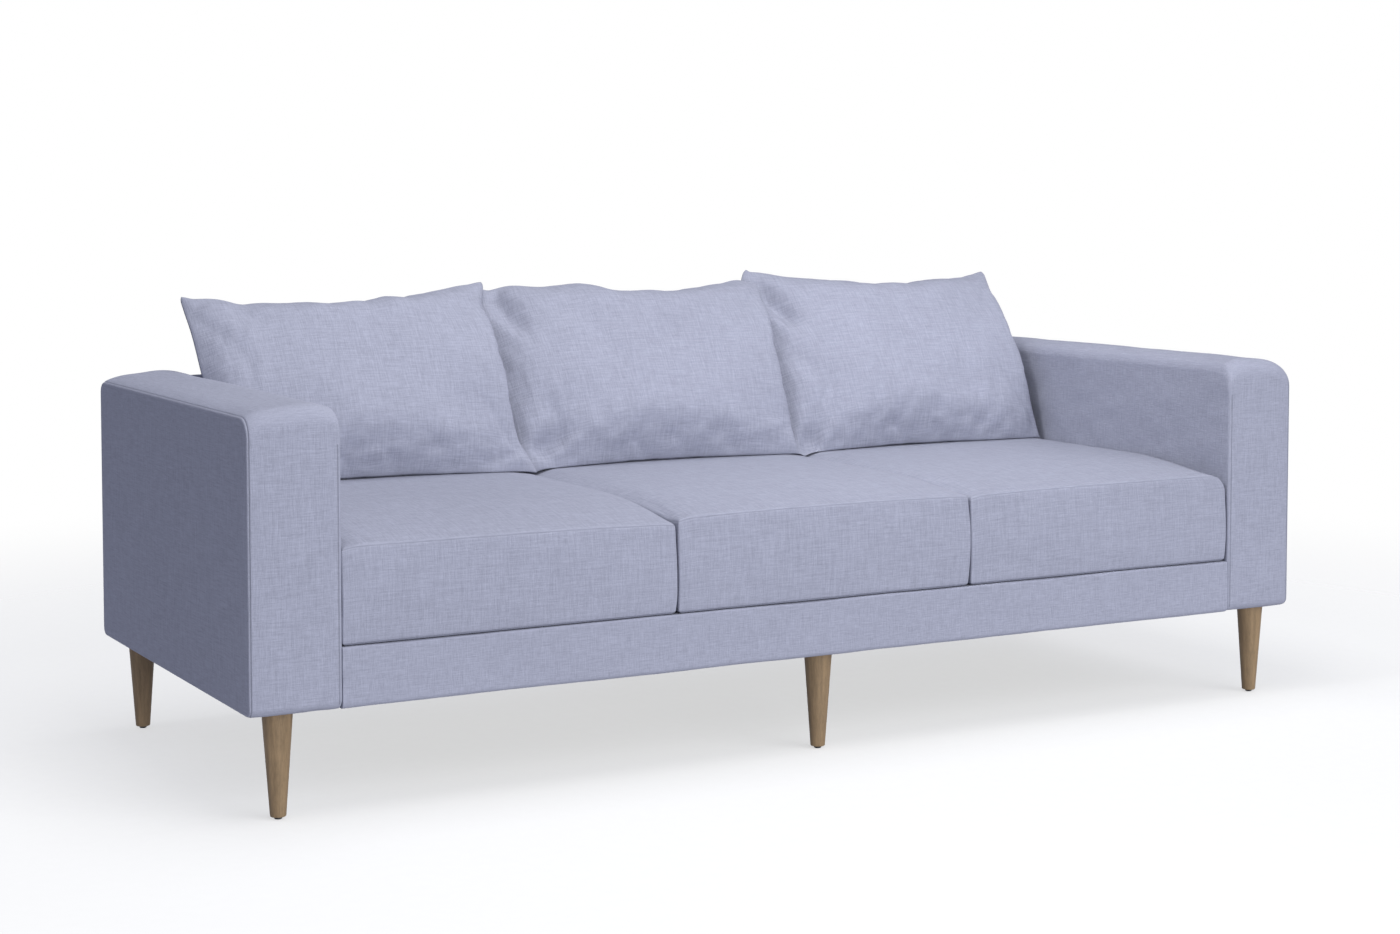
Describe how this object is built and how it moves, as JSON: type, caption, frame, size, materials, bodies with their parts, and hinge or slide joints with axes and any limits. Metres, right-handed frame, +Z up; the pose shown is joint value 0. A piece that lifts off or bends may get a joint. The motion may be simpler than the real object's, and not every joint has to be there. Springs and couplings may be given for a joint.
{
  "type": "sofa",
  "caption": "Low box-arm sofa in woven fabric, with loose seat cushions and leaning back pillows, on round tapered wooden legs.",
  "frame": {"origin": "on the floor under the middle of the sofa's bounding box", "axes": "+X to the right end as seen by someone facing the sofa, -Y towards the front, +Z up"},
  "size_m": [2.134, 0.83, 0.807],
  "materials": {
    "cover_fabric": "matte",
    "leg_wood": "satin",
    "glide_plastic": "matte",
    "zinc_steel": "satin",
    "frame_wood": "matte",
    "hardboard": "matte",
    "foam": "matte",
    "fibre": "matte",
    "webbing": "matte",
    "deck_cloth": "matte",
    "dust_cloth": "matte"
  },
  "bodies": {
    "base": {"arm_base_rail_left": "frame_wood", "arm_base_rail_right": "frame_wood", "arm_bottom_board_left": "frame_wood", "arm_bottom_board_right": "frame_wood", "arm_cover_left": "cover_fabric", "arm_cover_right": "cover_fabric", "arm_foam_left": "foam", "arm_foam_right": "foam", "arm_front_board_left": "frame_wood", "arm_front_board_right": "frame_wood", "arm_inner_panel_left": "hardboard", "arm_inner_panel_right": "hardboard", "arm_outer_panel_left": "hardboard", "arm_outer_panel_right": "hardboard", "arm_rear_board_left": "frame_wood", "arm_rear_board_right": "frame_wood", "arm_top_board_left": "frame_wood", "arm_top_board_right": "frame_wood", "back_bottom_rail": "frame_wood", "back_cover": "cover_fabric", "back_pad": "foam", "back_posts": "frame_wood", "back_top_rail": "frame_wood", "back_webbing": "webbing", "dust_cover": "dust_cloth", "frame_bolts": "zinc_steel", "front_rail_cover": "cover_fabric", "front_rail_pad": "foam", "insert_nuts": "zinc_steel", "leg_bolts": "zinc_steel", "leg_front_centre": "leg_wood", "leg_front_left": "leg_wood", "leg_front_right": "leg_wood", "leg_glides": "glide_plastic", "leg_rear_centre": "leg_wood", "leg_rear_left": "leg_wood", "leg_rear_right": "leg_wood", "seat_deck_cloth": "deck_cloth", "seat_deck_pad": "foam", "seat_front_rail": "frame_wood", "seat_rear_rail": "frame_wood", "seat_side_rail_left": "frame_wood", "seat_side_rail_right": "frame_wood", "seat_stretcher_left": "frame_wood", "seat_stretcher_right": "frame_wood", "seat_webbing": "webbing"},
    "seat_cushion_left": {"seat_cushion_cover_left": "cover_fabric", "seat_cushion_core_left": "foam"},
    "back_pillow_left": {"back_pillow_cover_left": "cover_fabric", "back_pillow_filling_left": "fibre"},
    "seat_cushion_centre": {"seat_cushion_cover_centre": "cover_fabric", "seat_cushion_core_centre": "foam"},
    "back_pillow_centre": {"back_pillow_cover_centre": "cover_fabric", "back_pillow_filling_centre": "fibre"},
    "seat_cushion_right": {"seat_cushion_cover_right": "cover_fabric", "seat_cushion_core_right": "foam"},
    "back_pillow_right": {"back_pillow_cover_right": "cover_fabric", "back_pillow_filling_right": "fibre"}
  },
  "joints": [
    {"name": "seat_cushion_left_lift", "type": "slide", "parent": "base", "child": "seat_cushion_left", "axis": [0, 0, 1], "range_m": [0, 0.25]},
    {"name": "seat_cushion_centre_lift", "type": "slide", "parent": "base", "child": "seat_cushion_centre", "axis": [0, 0, 1], "range_m": [0, 0.25]},
    {"name": "seat_cushion_right_lift", "type": "slide", "parent": "base", "child": "seat_cushion_right", "axis": [0, 0, 1], "range_m": [0, 0.25]},
    {"name": "back_pillow_left_lift", "type": "slide", "parent": "seat_cushion_left", "child": "back_pillow_left", "axis": [0, 0, 1], "range_m": [0, 0.35]},
    {"name": "back_pillow_centre_lift", "type": "slide", "parent": "seat_cushion_centre", "child": "back_pillow_centre", "axis": [0, 0, 1], "range_m": [0, 0.35]},
    {"name": "back_pillow_right_lift", "type": "slide", "parent": "seat_cushion_right", "child": "back_pillow_right", "axis": [0, 0, 1], "range_m": [0, 0.35]}
  ]
}
